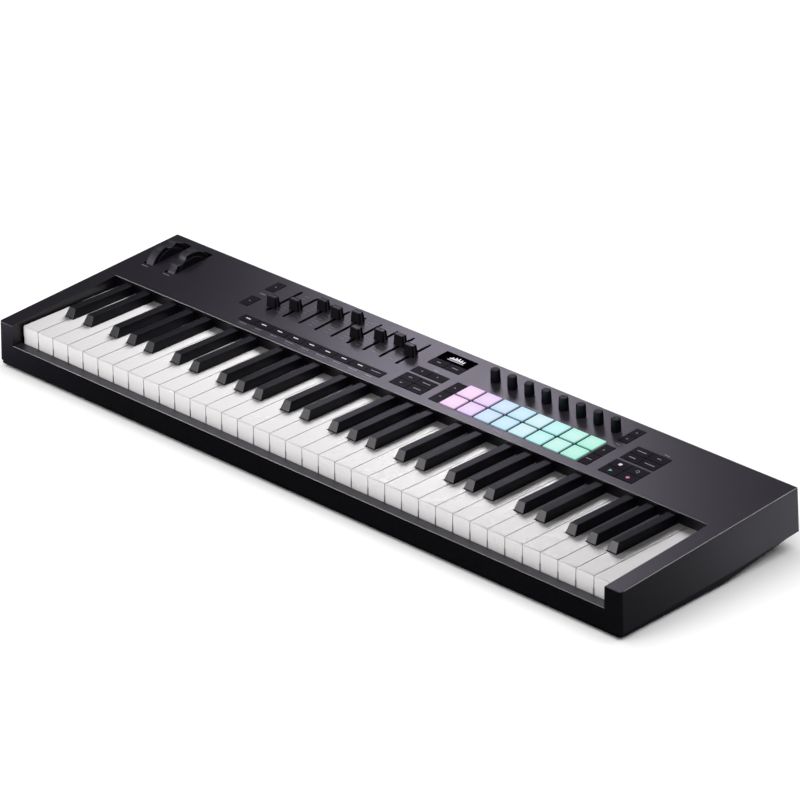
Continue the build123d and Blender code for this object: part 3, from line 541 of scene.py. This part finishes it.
def make_panel_print():
    """Ticks beside the faders and plain dashes where the panel is labelled."""
    bm = bmesh.new()
    w = (-0.03, 0.05)
    for g in range(8):
        x = FADER_X0 + FADER_PITCH * (g + 0.5)
        for k in range(9):
            y = 202.6 + k * 5.475
            half = 3.3 if k in (0, 4, 8) else 2.4
            slab(bm, rect(x - half, x + half, y - 0.28, y + 0.28), panel, *w)
    finish_piece("print_fader_ticks", bm, M["ink_dim"], "case")
    # painted shade: flat near-black strips along both sides of each fader slot, widening its dark line
    bm = bmesh.new()
    for i in range(9):
        x = FADER_X0 + FADER_PITCH * i
        for x0, x1, y0, y1 in ((x - 1.95, x - 1.45, 198.0, 247.0), (x + 1.45, x + 1.95, 198.0, 247.0)):
            slab(bm, rect(x0, x1, y0, y1), panel, -0.03, 0.02)
    finish_piece("slot_shade_strips", bm, M["inner"], "case")
    bm = bmesh.new()
    def put(cx, cy, length, height, seed):
        for pts in word(cx, cy, length, height, seed):
            slab(bm, pts, panel, *w)
    for i, n in enumerate((11, 9, 10, 12, 11, 13, 10, 12, 9)):
        cx = middle(STRIP[i])[0]
        put(cx, 160.5, n, 0.9, 100 + i)
    for x in WHEEL_X:
        put(x, 187.3, 9.5, 1.0, 150 + int(x))
    put(-268.9, 221.1, 8.0, 1.0, 160)
    put(-0.8, 212.6, 7.0, 0.9, 161)
    put(136, 215.2, 22.0, 1.0, 162)
    put(136, 157.6, 16.0, 1.0, 163)
    put(305, 229.2, 7.0, 0.9, 164)
    put(250.5, 216.0, 6.0, 0.9, 165)
    finish_piece("print_panel_marks", bm, M["ink"], "case")
    bm = bmesh.new()
    for i, n in enumerate((10, 12, 9, 11, 12, 10, 12, 9, 10)):
        put(middle(STRIP[i])[0], 156.4, n, 0.7, 130 + i)
    finish_piece("print_strip_second_row", bm, M["ink_dim"], "case")


def make_display():
    """Dark screen with a lit level meter and a rule under it."""
    bm = bmesh.new()
    slab(bm, rounded(-21.6, 21.6, 235.9, 251.0, 0.8), panel, 0.0, 0.03)
    finish_piece("screen_glass", bm, M["glass"], "case")
    bm = bmesh.new()
    heights = (2.2, 4.4, 3.2, 5.6, 4.2, 6.4, 3.6, 5.2, 2.6, 4.0)
    for k, h in enumerate(heights):
        x = -10.2 + k * 2.1
        slab(bm, rect(x, x + 1.5, 241.4, 241.4 + h), panel, 0.03, 0.06)
    slab(bm, rect(-11.0, 11.6, 239.2, 240.0), panel, 0.03, 0.06)
    finish_piece("screen_lit_meter", bm, M["oled"], "case")


# ------------------------------------------------------------------ fader caps
def wedge(bm, xw, y_lo, y_hi, arch=0.0, mat=0):
    """One upright leaf of a cap. xw: (half width, w) pairs going up; y_lo/y_hi give its faces at a height."""
    left = [(-h, w) for h, w in xw]
    right = [(h, w) for h, w in xw]
    bottom = []
    if arch:
        h0, w0 = xw[0]
        for k in range(1, 8):
            t = k / 8
            bottom.append((-(h0 - 1.2) + 2 * (h0 - 1.2) * t, w0 + arch * math.sin(math.pi * t)))
    outline = [left[0]] + bottom + right + left[:0:-1]
    front = [bm.verts.new(Vector((x, y_lo(w), w))) for x, w in outline]
    back = [bm.verts.new(Vector((x, y_hi(w), w))) for x, w in outline]
    faces = [bm.faces.new(front), bm.faces.new(back[::-1])]
    n = len(outline)
    for i in range(n):
        j = (i + 1) % n
        faces.append(bm.faces.new((front[j], front[i], back[i], back[j])))
    for f in faces:
        f.material_index = mat


def make_fader_cap(i):
    bm = bmesh.new()
    H = 13.5
    depth = lambda w: 4.45 - 1.4 * max(0.0, (w - 0.9)) / (H - 0.9)
    widths = [(6.7, 0.6), (6.5, 3.0), (6.2, 7.5), (5.95, H - 0.7), (5.5, H)]
    core = [(5.6, 0.8), (5.3, H - 1.5)]
    wedge(bm, widths, lambda w: -depth(w), lambda w: -1.75, arch=0.5)
    wedge(bm, widths, lambda w: 1.75, lambda w: depth(w), arch=0.5)
    # the middle leaf of each cap is coloured a lighter grey than the rest of the cap
    wedge(bm, [(6.55, 1.1), (6.1, 7.5), (5.85, H - 0.5), (5.5, H + 0.05)], lambda w: -0.75, lambda w: 0.75, mat=1)
    wedge(bm, core, lambda w: -2.2, lambda w: 2.2)
    # metal lever below the cap
    wedge(bm, [(0.6, -5.9), (0.6, 1.4)], lambda w: -2.0, lambda w: 2.0, mat=2)
    x, y = FADER_X0 + FADER_PITCH * i, FADER_POS[i]
    for v in bm.verts:
        v.co = panel(x + v.co.x, y + v.co.y * CA, v.co.z)
    body = f"fader_cap_{i + 1}"
    ob = finish_piece(f"cap_{i + 1}", bm, [M["control"], M["ridge"], M["metal"]], body, bevel=0.35)
    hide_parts(body)


# ------------------------------------------------------------------ encoder knobs
def make_knob(i):
    bm = bmesh.new()
    N = 144
    rows = [(4.9, 0.62, 0), (5.4, 0.66, 0), (5.5, 0.95, 0), (5.5, 2.1, 0), (5.48, 2.45, 0), (5.46, 2.7, 0.9), (5.42, 3.2, 1),
            (5.24, 9.0, 1), (5.12, 12.9, 1), (5.04, 13.5, 0.8), (4.86, 14.1, 0.3), (4.56, 14.6, 0), (4.1, 14.88, 0), (3.4, 15.0, 0)]
    rings = []
    for r, w, rib in rows:
        ring = []
        for k in range(N):
            a = 2 * math.pi * k / N
            groove = 0.5 + 0.5 * math.cos(a * 24)
            rr = r - rib * 0.26 * (groove ** 2)
            ring.append(bm.verts.new(Vector((rr * math.cos(a), rr * math.sin(a), w))))
        rings.append(ring)
    for a, b in zip(rings, rings[1:]):
        for k in range(N):
            bm.faces.new((a[k], a[(k + 1) % N], b[(k + 1) % N], b[k]))
    # shallow dished top
    inner = [(2.6, 14.93), (1.3, 14.88)]
    last = rings[-1]
    for r, w in inner:
        ring = [bm.verts.new(Vector((r * math.cos(2 * math.pi * k / N), r * math.sin(2 * math.pi * k / N), w))) for k in range(N)]
        for k in range(N):
            bm.faces.new((last[k], last[(k + 1) % N], ring[(k + 1) % N], ring[k]))
        last = ring
    bm.faces.new(last)
    base = [bm.verts.new(Vector((2.95 * math.cos(2 * math.pi * k / N), 2.95 * math.sin(2 * math.pi * k / N), 0.62))) for k in range(N)]
    foot = [bm.verts.new(Vector((2.95 * math.cos(2 * math.pi * k / N), 2.95 * math.sin(2 * math.pi * k / N), -5.7))) for k in range(N)]
    for k in range(N):
        j = (k + 1) % N
        bm.faces.new((rings[0][j], rings[0][k], base[k], base[j]))
        bm.faces.new((base[j], base[k], foot[k], foot[j]))
    bm.faces.new(foot[::-1])
    x = ENC_X0 + ENC_PITCH * i
    for v in bm.verts:
        v.co = panel(x + v.co.x, ENC_Y + v.co.y * CA, v.co.z)
    body = f"encoder_knob_{i + 1}"
    ob = finish_piece(f"knob_{i + 1}", bm, M["control"], body, smooth=50)
    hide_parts(body)


# ------------------------------------------------------------------ wheels
def make_wheel(name, node, x, first, last, scoop):
    bm = bmesh.new()
    half = WHEEL_W / 2
    reach = WHEEL_R + SCOOP_OUT
    steps = int((last - first) / 1.0)
    rings = []
    for k in range(steps + 1):
        a = first + (last - first) * k / steps
        rel = math.radians(a - scoop)
        R = WHEEL_R
        # where a ray from the hub meets the finger scoop
        disc_ = SCOOP_R ** 2 - (reach * math.sin(rel)) ** 2
        if disc_ > 0 and abs(rel) < 1.2:
            R = min(R, reach * math.cos(rel) - math.sqrt(disc_))
        rib = 0.0
        if R >= WHEEL_R - 1e-6 and 16.5 < abs(a - scoop) < 31:
            rib = 0.35 * (0.5 - 0.5 * math.cos(math.radians(a - scoop) * 120))
        R -= rib
        ar = math.radians(a)
        ring = []
        prof = [(-half, 8.9), (-half, 24.6), (-half + 0.7, 25.2), (-half + 0.7, R - 2.4), (-half, R - 1.8), (-half, R - 1.0), (-half + 0.35, R - 0.35), (-half + 1.0, R),
                (half - 1.0, R), (half - 0.35, R - 0.35), (half, R - 1.0), (half, R - 1.8), (half - 0.7, R - 2.4), (half - 0.7, 25.2), (half, 24.6), (half, 8.9)]
        for px, pr in prof:
            pr = min(pr, R)
            ring.append(bm.verts.new(case(x + px, WHEEL_Y + pr * math.sin(ar), WHEEL_Z + pr * math.cos(ar))))
        rings.append(ring)
    n = len(rings[0])
    for a, b in zip(rings, rings[1:]):
        for k in range(n):
            j = (k + 1) % n
            bm.faces.new((a[k], a[j], b[j], b[k]))
    bm.faces.new(rings[0])
    bm.faces.new(rings[-1][::-1])
    # hub sleeve
    sleeve = []
    for px, r in ((-half + 0.02, 9.05), (half - 0.02, 9.05), (half - 0.02, 3.1), (-half + 0.02, 3.1)):
        sleeve.append([bm.verts.new(case(x + px, WHEEL_Y + r * math.sin(2 * math.pi * k / 48), WHEEL_Z + r * math.cos(2 * math.pi * k / 48))) for k in range(48)])
    for q in range(4):
        a, b = sleeve[q], sleeve[(q + 1) % 4]
        for k in range(48):
            bm.faces.new((a[k], a[(k + 1) % 48], b[(k + 1) % 48], b[k]))
    ob = finish_piece(name, bm, M["wheel"], node, smooth=28)
    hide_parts(node)


# ------------------------------------------------------------------ rear face
def make_rear_marks():
    bm = bmesh.new()
    def put(pts):
        # the rear face is read from behind, so x runs the other way
        slab(bm, pts, lambda x, z, w: rear(x, z, w), -0.02, 0.06)
    for cx, cz, n, seed in ((-20.7, 52.6, 5.2, 200), (-43.8, 52.6, 9.6, 201), (-72.6, 52.6, 8.0, 202)):
        for pts in word(cx, cz, n, 1.1, seed):
            put(pts)
    # padlock over the lock slot
    cx, cz = -427.4, 52.6
    put(rounded(cx - 1.9, cx + 1.9, cz - 1.6, cz + 1.1, 0.4, 2))
    for q in ring_arc(cx, cz + 1.1, 0.85, 1.4, 0, 180, 12):
        put(q)
    finish_piece("print_rear_marks", bm, M["ink"], "case")


# ------------------------------------------------------------------ rounded edges of the case that catch the light
def bead(name, path, inward, up, r):
    """Quarter-round skin over a straight edge: path is its two ends, inward and up the faces that meet there."""
    bm = bmesh.new()
    n = 8
    rings = []
    for p in path:
        ring = []
        for k in range(n + 1):
            a = math.pi / 2 * k / n
            off = inward * (r - (r + 0.04) * math.sin(a)) - up * (r - (r + 0.04) * math.cos(a))
            ring.append(bm.verts.new(case(*(p + off))))
        ring.append(bm.verts.new(case(*(p + inward * r - up * r))))
        rings.append(ring)
    m = len(rings[0])
    for k in range(m):
        j = (k + 1) % m
        bm.faces.new((rings[0][k], rings[0][j], rings[1][j], rings[1][k]))
    bm.faces.new(rings[0])
    bm.faces.new(rings[1][::-1])
    return finish_piece(name, bm, M["edge"], "case", smooth=40)


def tube_bead(name, path, centre, r):
    """Low round bead let into a face just behind its edge: centre is the offset of its axis from the edge."""
    bm = bmesh.new()
    n = 24
    rings = [[bm.verts.new(case(*(p + centre + Vector((0, r * math.sin(2 * math.pi * k / n), r * math.cos(2 * math.pi * k / n)))))) for k in range(n)] for p in path]
    for k in range(n):
        j = (k + 1) % n
        bm.faces.new((rings[0][k], rings[0][j], rings[1][j], rings[1][k]))
    bm.faces.new(rings[0])
    bm.faces.new(rings[1][::-1])
    return finish_piece(name, bm, M["edge"], "case", smooth=40)


def make_beads():
    top = Vector((0, -SA, CA))
    def on_top(x, y):
        return Vector((x, y, FRONT_H + SLOPE * y))
    def side_x(y):
        return HALF_BOT - (HALF_BOT - HALF_TOP) * (FRONT_H + SLOPE * y) / 66
    out = {"x": [], "y": [], "rail": []}
    bm = bmesh.new()
    slab(bm, rect(-427.0, 427.0, FRONT_Y + 0.56, 11.9), lambda x, y, w: case(x, y, 25.1 + w), -0.05, 0.03)
    out["rail"].append(finish_piece("rail_top_face", bm, M["edge"], "case"))
    out["x"].append(tube_bead("edge_panel_front", [on_top(-427.0, 150.8), on_top(427.0, 150.8)], Vector((0, 0.47, -0.25)), 0.45))
    out["x"].append(tube_bead("edge_rail", [Vector((-427.0, FRONT_Y, 25.1)), Vector((427.0, FRONT_Y, 25.1))], Vector((0, 0.50, -0.25)), 0.45))
    out["y"].append(bead("edge_cheek_right", [on_top(side_x(4), 4), on_top(side_x(261.5), 261.5)], Vector((-1, 0, 0)), top, 0.9))
    out["y"].append(bead("edge_cheek_left_inner", [on_top(-427.2, 3), on_top(-427.2, 150.5)], Vector((-1, 0, 0)), top, 0.45))
    return out


make_legends()

def make_pad_gap_shade():
    """Painted shade: dark, dull bars laid on the panel between the pads, where the gaps between them fall in shade."""
    bm = bmesh.new()
    w = (-0.02, 0.04)
    play = 0.35
    (y0, y1), (y2, y3) = PAD_ROWS
    for c in range(8):
        x = PAD_X0 + c * PAD_PITCH
        slab(bm, rect(x - play, x + PAD_W + play, y1 + play, y2 - play), panel, *w)
        if c:
            slab(bm, rect(x - PAD_PITCH + PAD_W + play, x - play, y0, y3), panel, *w)
    finish_piece("pad_gap_shade_bars", bm, M["frame_dark"], "case")


make_panel_print()
make_pad_gap_shade()
BEADS = make_beads()
make_display()
for i in range(9):
    make_fader_cap(i)
for i in range(8):
    make_knob(i)
make_wheel("wheel_pitch", "pitch_wheel", WHEEL_X[0], -90, 90, 0)
make_wheel("wheel_mod", "mod_wheel", WHEEL_X[1], -120, 60, -30)
make_rear_marks()


# ------------------------------------------------------------------ softer edges on the imported keys
def soften(obj, width, angle=30, segments=2):
    weld = obj.modifiers.new("join_seams", "WELD")
    weld.merge_threshold = 0.00001
    flat = obj.modifiers.new("flat_faces", "DECIMATE")
    flat.decimate_type = "DISSOLVE"
    flat.angle_limit = math.radians(1.0)
    b = obj.modifiers.new("soft_edges", "BEVEL")
    b.width = width / 1000
    b.segments = segments
    b.limit_method = "ANGLE"
    b.angle_limit = math.radians(angle)
    b.use_clamp_overlap = True


for node_name, obj in NODES.items():
    if node_name.startswith("white_keys"):
        soften(obj, 0.45, 40)
    elif node_name.startswith("black_keys"):
        soften(obj, 0.3, 40)


# ------------------------------------------------------------------ camera, floor and light
def make_camera():
    s = 1.004255 / 1000
    az, el, roll = math.radians(44.41), math.radians(26.726), math.radians(-0.591)
    back = Vector((math.sin(az) * math.cos(el), -math.cos(az) * math.cos(el), math.sin(el)))
    right = Vector((math.cos(az), math.sin(az), 0))
    up = back.cross(right)
    R = math.cos(roll) * right + math.sin(roll) * up
    U = -math.sin(roll) * right + math.cos(roll) * up
    cam = bpy.data.objects.new("camera", bpy.data.cameras.new("camera"))
    bpy.context.scene.collection.objects.link(cam)
    rot = Matrix((R, U, back)).transposed().to_4x4()
    loc = Vector((3118.978 * s, -3024.477 * s - MID_Y / 1000, 2248.294 * s + FOOT / 1000))
    cam.matrix_world = Matrix.Translation(loc) @ rot
    cam.data.sensor_width = 36.0
    cam.data.lens = 4806.417 * 36 / 800
    cam.data.shift_x = (400 - 402.678) / 800
    cam.data.shift_y = (436.733 - 400) / 800
    cam.data.clip_start, cam.data.clip_end = 0.05, 100
    bpy.context.scene.camera = cam
    return cam


def make_floor():
    bm = bmesh.new()
    s = 9.0
    vs = [bm.verts.new(p) for p in ((-s, -s, 0), (s, -s, 0), (s, s, 0), (-s, s, 0))]
    bm.faces.new(vs)
    me = bpy.data.meshes.new("floor")
    bm.to_mesh(me)
    bm.free()
    ob = bpy.data.objects.new("floor", me)
    bpy.context.scene.collection.objects.link(ob)
    m, nt, b = new_material("pale_floor")
    n = nt.nodes.new("ShaderNodeTexNoise")
    n.inputs["Scale"].default_value = 3.0
    tc = nt.nodes.new("ShaderNodeTexCoord")
    nt.links.new(tc.outputs["Object"], n.inputs["Vector"])
    r = nt.nodes.new("ShaderNodeValToRGB")
    r.color_ramp.elements[0].color = (0.905, 0.905, 0.905, 1)
    r.color_ramp.elements[1].color = (0.925, 0.925, 0.925, 1)
    nt.links.new(n.outputs["Fac"], r.inputs["Fac"])
    nt.links.new(r.outputs["Color"], b.inputs["Base Color"])
    b.inputs["Roughness"].default_value = 0.9
    b.inputs["Specular IOR Level"].default_value = 0.1
    me.materials.append(m)
    ob.visible_glossy = False


def area(name, direction, distance, size, power, color=(1, 1, 1), target=(0, 0, 0.05), lit=None, shaded_by=None, spread=None):
    """Soft light; lit and shaded_by, when given, name the objects it reaches and those that shade it."""
    d = Vector(direction).normalized()
    light = bpy.data.lights.new(name, "AREA")
    light.shape = "RECTANGLE"
    light.size, light.size_y = size
    light.energy = power
    if spread is not None:
        light.spread = math.radians(spread)
    light.color = color
    ob = bpy.data.objects.new(name, light)
    bpy.context.scene.collection.objects.link(ob)
    t = Vector(target)
    ob.location = t + d * distance
    ob.rotation_mode = "QUATERNION"
    ob.rotation_quaternion = (-d).to_track_quat("-Z", "Y")
    ob.visible_camera = False
    for suffix, members in (("lit", lit), ("shade", shaded_by)):
        if members is None:
            continue
        group = bpy.data.collections.new(f"{name}_{suffix}")
        for member in members:
            group.objects.link(member)
        if suffix == "lit":
            ob.light_linking.receiver_collection = group
        else:
            ob.light_linking.blocker_collection = group
    return ob


def make_world():
    world = bpy.data.worlds.new("studio")
    world.use_nodes = True
    bpy.context.scene.world = world
    nt = world.node_tree
    nodes, links = nt.nodes, nt.links
    out = nodes["World Output"]
    around = nodes["Background"]
    around.inputs["Color"].default_value = (0.98, 0.98, 1.0, 1)
    around.inputs["Strength"].default_value = 0.06
    gloss = nodes.new("ShaderNodeBackground")
    gloss.inputs["Color"].default_value = (0.90, 0.90, 1.0, 1)
    # reflections: dark room below the horizon, faint grey above
    tc = nodes.new("ShaderNodeTexCoord")
    sep = nodes.new("ShaderNodeSeparateXYZ")
    links.new(tc.outputs["Generated"], sep.inputs[0])
    ramp = nodes.new("ShaderNodeMapRange")
    ramp.inputs["From Min"].default_value = -0.15
    ramp.inputs["From Max"].default_value = 0.6
    ramp.inputs["To Min"].default_value = 0.01
    ramp.inputs["To Max"].default_value = 0.05
    links.new(sep.outputs["Z"], ramp.inputs["Value"])
    links.new(ramp.outputs["Result"], gloss.inputs["Strength"])
    seen = nodes.new("ShaderNodeBackground")
    seen.inputs["Color"].default_value = (1, 1, 1, 1)
    seen.inputs["Strength"].default_value = 1.0
    path = nodes.new("ShaderNodeLightPath")
    first = nodes.new("ShaderNodeMixShader")
    links.new(path.outputs["Is Glossy Ray"], first.inputs["Fac"])
    links.new(around.outputs[0], first.inputs[1])
    links.new(gloss.outputs[0], first.inputs[2])
    second = nodes.new("ShaderNodeMixShader")
    links.new(path.outputs["Is Camera Ray"], second.inputs["Fac"])
    links.new(first.outputs[0], second.inputs[1])
    links.new(seen.outputs[0], second.inputs[2])
    links.new(second.outputs[0], out.inputs["Surface"])


def make_light():
    make_world()
    everything = [o for o in bpy.context.scene.objects if o.type == "MESH" and o.name != "floor"]
    floor = [bpy.data.objects["floor"]]
    dark = [o for o in everything if not o.name.startswith(("white_keys", "pads_"))]
    shells = [NODES[n] for n in ("top_case", "bottom_case")]
    noses = [o for n, o in NODES.items() if n.startswith("black_keys")]
    whites = [o for n, o in NODES.items() if n.startswith("white_keys")]
    controls = [o for o in everything if o.name.startswith(("cap_", "knob_", "wheel_"))]
    beads = BEADS["x"] + BEADS["y"] + BEADS["rail"]
    knobs = [o for o in everything if o.name.startswith("knob_")]
    wheels = [o for o in everything if o.name.startswith("wheel_")]
    case_side = [o for o in dark if o not in noses and o not in beads and o not in knobs]
    rest = [o for o in everything if o not in whites]
    # the object
    area("top_soft", (0.05, 0.0, 1.0), 3.2, (7.5, 7.5), 128.0, color=(0.955, 0.88, 1.05), lit=rest)
    mirror = (-0.60, 0.62, 0.58)
    violet = (0.955, 0.885, 1.06)
    area("sheen", mirror, 1.0, (0.30, 0.30), 0.38, color=violet, target=(0.02, 0.06, 0.06), lit=case_side)
    area("sheen_open", mirror, 1.0, (0.30, 0.30), 1.62, color=violet, target=(0.02, 0.06, 0.06), lit=case_side, shaded_by=shells)
    area("sheen_keys", mirror, 1.0, (0.30, 0.30), 1.25, color=violet, target=(0.06, 0.0, 0.06), lit=noses)
    area("front_low", (-0.50, -0.78, 0.38), 2.2, (0.9, 0.6), 62.0, color=(1.0, 0.97, 1.0), target=(0.22, 0, 0.05), lit=noses)
    area("front_controls", (-0.56, -0.74, 0.38), 2.2, (0.9, 0.6), 22.0, color=(1.0, 0.97, 1.0), target=(0.15, 0, 0.05), lit=[o for o in controls if o not in knobs])
    area("front_knobs", (-0.56, -0.74, 0.38), 2.2, (0.9, 0.6), 6.0, color=(1.0, 0.97, 1.0), target=(0.15, 0, 0.05), lit=knobs)
    area("sheen_knobs", mirror, 1.0, (0.30, 0.30), 0.35, color=violet, target=(0.10, 0.06, 0.06), lit=knobs)
    area("front_wheels", (-0.56, -0.74, 0.38), 2.2, (0.9, 0.6), 26.0, color=(0.95, 0.93, 1.0), target=(-0.40, 0.09, 0.05), lit=wheels)
    area("right_side", (0.625, 0.638, -0.47), 0.45, (0.22, 0.22), 0.26, color=(0.93, 0.90, 1.0), target=(0.447, 0.19, 0.05), lit=shells, shaded_by=shells)
    # the left cheek's front end, and the rear face, which this view doesn't show
    area("left_front", (-0.72, -0.66, 0.18), 0.16, (0.05, 0.05), 0.22, color=violet, target=(-0.449, -0.135, 0.02), lit=shells)
    rear = [o for o in case_side if o not in controls]
    behind = area("behind", (0.0, 1.0, 0.0), 2.6, (2.4, 0.3), 600.0, color=(1.0, 0.97, 0.80), target=(0, 0.12, 0.03), lit=rear, shaded_by=shells)
    behind.visible_glossy = False
    area("behind_metal", (0.0, 1.0, 0.0), 2.6, (2.4, 0.3), 22.0, color=violet, target=(0, 0.12, 0.03), lit=[NODES[n] for n in ("usb_socket", "midi_socket", "pedal_jack")], shaded_by=shells)
    # white keys: a box behind on the left, a low fill in front
    key_main = area("key_main", (-0.67, 0.72, 0.57), 1.14, (0.36, 0.36), 9.3, color=(0.985, 0.985, 1.0), target=(0.22, -0.05, 0.05), lit=whites, spread=120)
    key_main.visible_glossy = False
    area("key_top", (0.05, 0.0, 1.0), 3.2, (7.5, 7.5), 14.0, lit=whites)
    area("front_fill", (-0.44, -0.87, 0.20), 2.4, (1.2, 0.7), 34.0, color=(0.99, 0.985, 1.0), target=(0.16, 0, 0.05), lit=whites)
    # rounded edges
    area("rail", mirror, 1.0, (0.30, 0.30), 2.1, color=violet, target=(0.0, -0.10, 0.03), lit=BEADS["rail"], shaded_by=BEADS["rail"])
    area("edge_x", (-0.625, -0.30, 0.72), 3.0, (0.8, 0.8), 260.0, target=(-0.15, 0, 0.05), lit=BEADS["x"])
    area("edge_y", (0.50, 0.60, 0.62), 3.0, (0.8, 0.8), 115.0, target=(0.44, 0.10, 0.05), lit=BEADS["y"])
    # the floor and its shadow, which falls to the right
    area("floor_top", (0.05, 0.0, 1.0), 3.2, (7.5, 7.5), 292.0, lit=floor)
    area("floor_left", (-0.82, 0.0, 0.57), 6.0, (2.4, 2.4), 50.0, lit=floor)
    area("floor_front", (-0.30, -0.85, 0.45), 5.0, (2.5, 2.5), 78.0, lit=floor)


make_camera()
make_floor()
make_light()
scene = bpy.context.scene
scene.view_settings.view_transform = "Standard"
scene.view_settings.look = "None"
